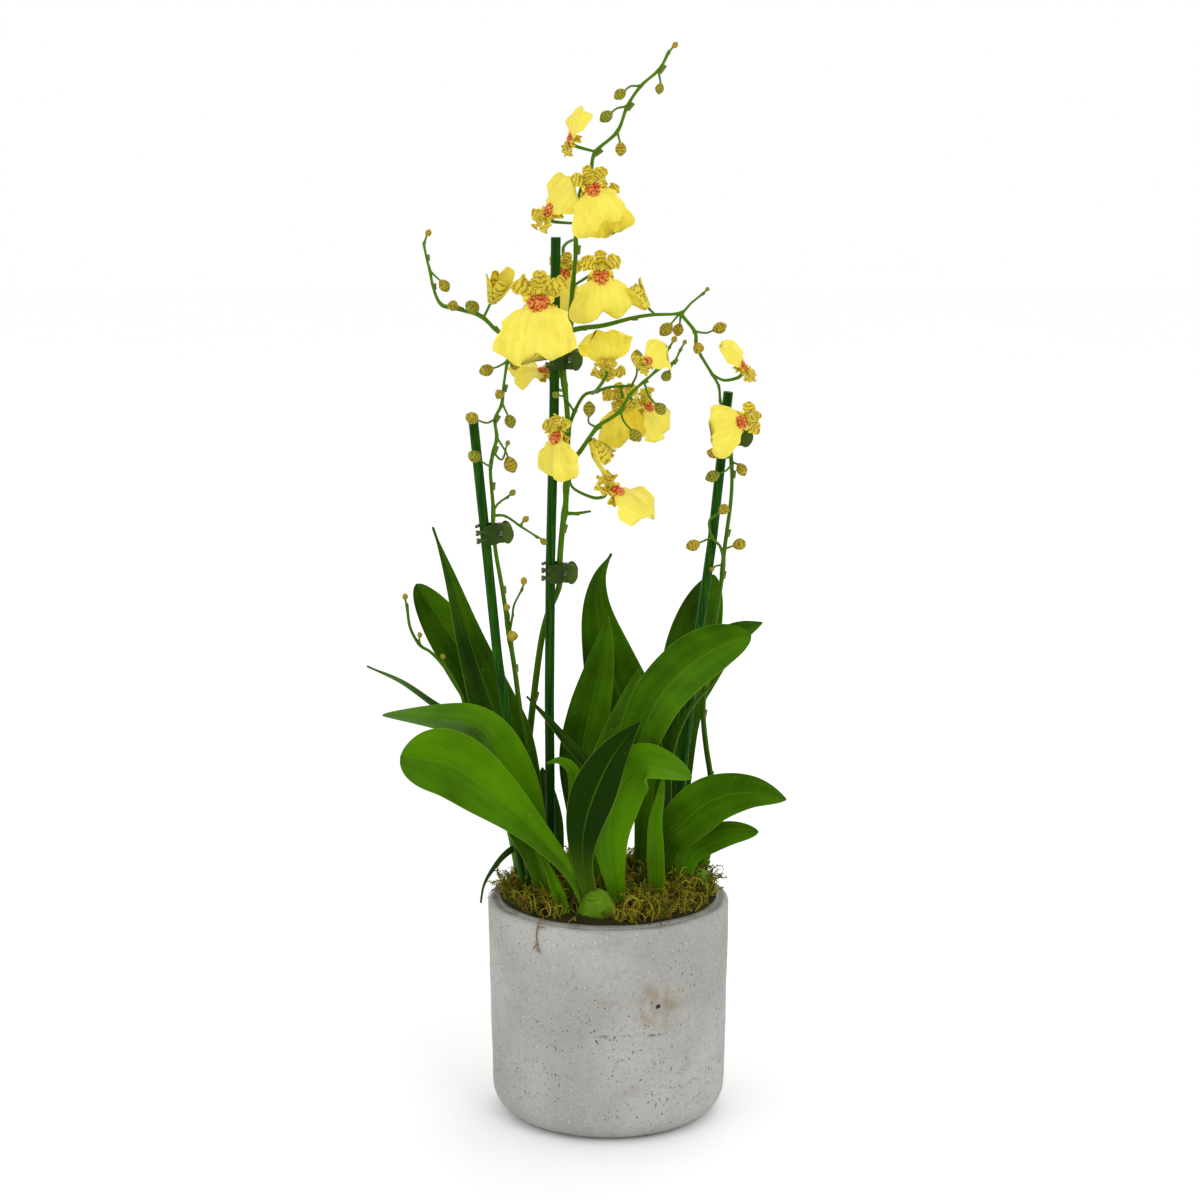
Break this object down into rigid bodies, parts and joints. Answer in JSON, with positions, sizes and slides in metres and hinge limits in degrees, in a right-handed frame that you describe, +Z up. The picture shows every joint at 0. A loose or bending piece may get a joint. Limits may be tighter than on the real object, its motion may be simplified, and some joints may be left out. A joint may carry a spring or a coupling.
{
  "type": "potted orchid",
  "caption": "Oncidium orchid with arching sprays of small yellow flowers, held to green canes by claw clips, above strap leaves and moss in a round concrete pot.",
  "frame": {"origin": "centre of the pot's flat underside, on the surface that it stands on", "axes": "+Z up along the pot's axis; -Y is the side that the plant is seen from"},
  "size_m": [0.2615, 0.155, 0.6687],
  "materials": {
    "concrete": "cast, rough, finely pitted",
    "bark_mix": "rough, loose",
    "moss": "shaggy, dry",
    "leaf": "soft sheen",
    "pseudobulb": "soft sheen",
    "stem": "soft sheen",
    "petal": "matt, thin",
    "cane": "satin",
    "clip": "glossy, slightly clear"
  },
  "bodies": {
    "potted_plant": {"bloom_behind_cane": "petal", "bloom_below_clip": "petal", "bloom_hanging": "petal", "bloom_heart": "petal", "bloom_largest": "petal", "bloom_lowest": "petal", "bloom_on_cane": "petal", "bloom_right_cane": "petal", "bloom_right_lip": "petal", "bloom_right_opening": "petal", "bloom_top": "petal", "bloom_turned": "petal", "bloom_twig": "petal", "bloom_upper_back": "petal", "bloom_upper_front": "petal", "bloom_upper_side": "petal", "cane_left": "cane", "cane_middle": "cane", "cane_right": "cane", "clip_left_fixed_jaw": "clip", "clip_middle_high_fixed_jaw": "clip", "clip_middle_low_fixed_jaw": "clip", "clip_right_fixed_jaw": "clip", "growing_medium": "bark_mix", "growth_front": "leaf", "leaf_back_far": "leaf", "leaf_back_right": "leaf", "leaf_centre_mid": "leaf", "leaf_centre_slim": "leaf", "leaf_centre_tall": "leaf", "leaf_front_curl": "leaf", "leaf_front_sprout": "leaf", "leaf_front_strap": "leaf", "leaf_left_back": "leaf", "leaf_left_dark": "leaf", "leaf_left_edge": "leaf", "leaf_left_folded": "leaf", "leaf_left_short": "leaf", "leaf_left_tall": "leaf", "leaf_right_blade": "leaf", "leaf_right_broad": "leaf", "leaf_right_high": "leaf", "leaf_right_low": "leaf", "leaf_right_sheath": "leaf", "leaf_shade_broad": "leaf", "leaf_small_round": "leaf", "leaf_strap_over_rim": "leaf", "moss": "moss", "pot": "concrete", "pseudobulb_centre": "pseudobulb", "pseudobulb_right": "pseudobulb", "spray_left": "stem", "spray_right": "stem", "spray_tall": "stem", "spray_young": "stem"},
    "clip_left_loose_jaw": {"clip_left_loose_jaw": "clip"},
    "clip_middle_high_loose_jaw": {"clip_middle_high_loose_jaw": "clip"},
    "clip_middle_low_loose_jaw": {"clip_middle_low_loose_jaw": "clip"},
    "clip_right_loose_jaw": {"clip_right_loose_jaw": "clip"}
  },
  "joints": [
    {"name": "clip_left_hinge", "type": "hinge", "parent": "potted_plant", "child": "clip_left_loose_jaw", "pos_m": [-0.06547, -0.01711, 0.37395], "axis": [-0.0928, -0.0269, 0.9953], "range_deg": [0, 30], "stiffness_Nm_per_rad": 0.02, "springref_deg": -17.19},
    {"name": "clip_middle_high_hinge", "type": "hinge", "parent": "potted_plant", "child": "clip_middle_high_loose_jaw", "pos_m": [-0.023, 0.00134, 0.47786], "axis": [0.0135, -0.018, 0.9997], "range_deg": [0, 30], "stiffness_Nm_per_rad": 0.02, "springref_deg": -17.19},
    {"name": "clip_middle_low_hinge", "type": "hinge", "parent": "potted_plant", "child": "clip_middle_low_loose_jaw", "pos_m": [-0.02609, 0.00573, 0.34489], "axis": [0.0111, -0.0278, 0.9996], "range_deg": [0, 30], "stiffness_Nm_per_rad": 0.02, "springref_deg": -17.19},
    {"name": "clip_right_hinge", "type": "hinge", "parent": "potted_plant", "child": "clip_right_loose_jaw", "pos_m": [0.07993, 0.01472, 0.4292], "axis": [0.0974, -0.0214, 0.995], "range_deg": [0, 30], "stiffness_Nm_per_rad": 0.02, "springref_deg": -17.19}
  ]
}
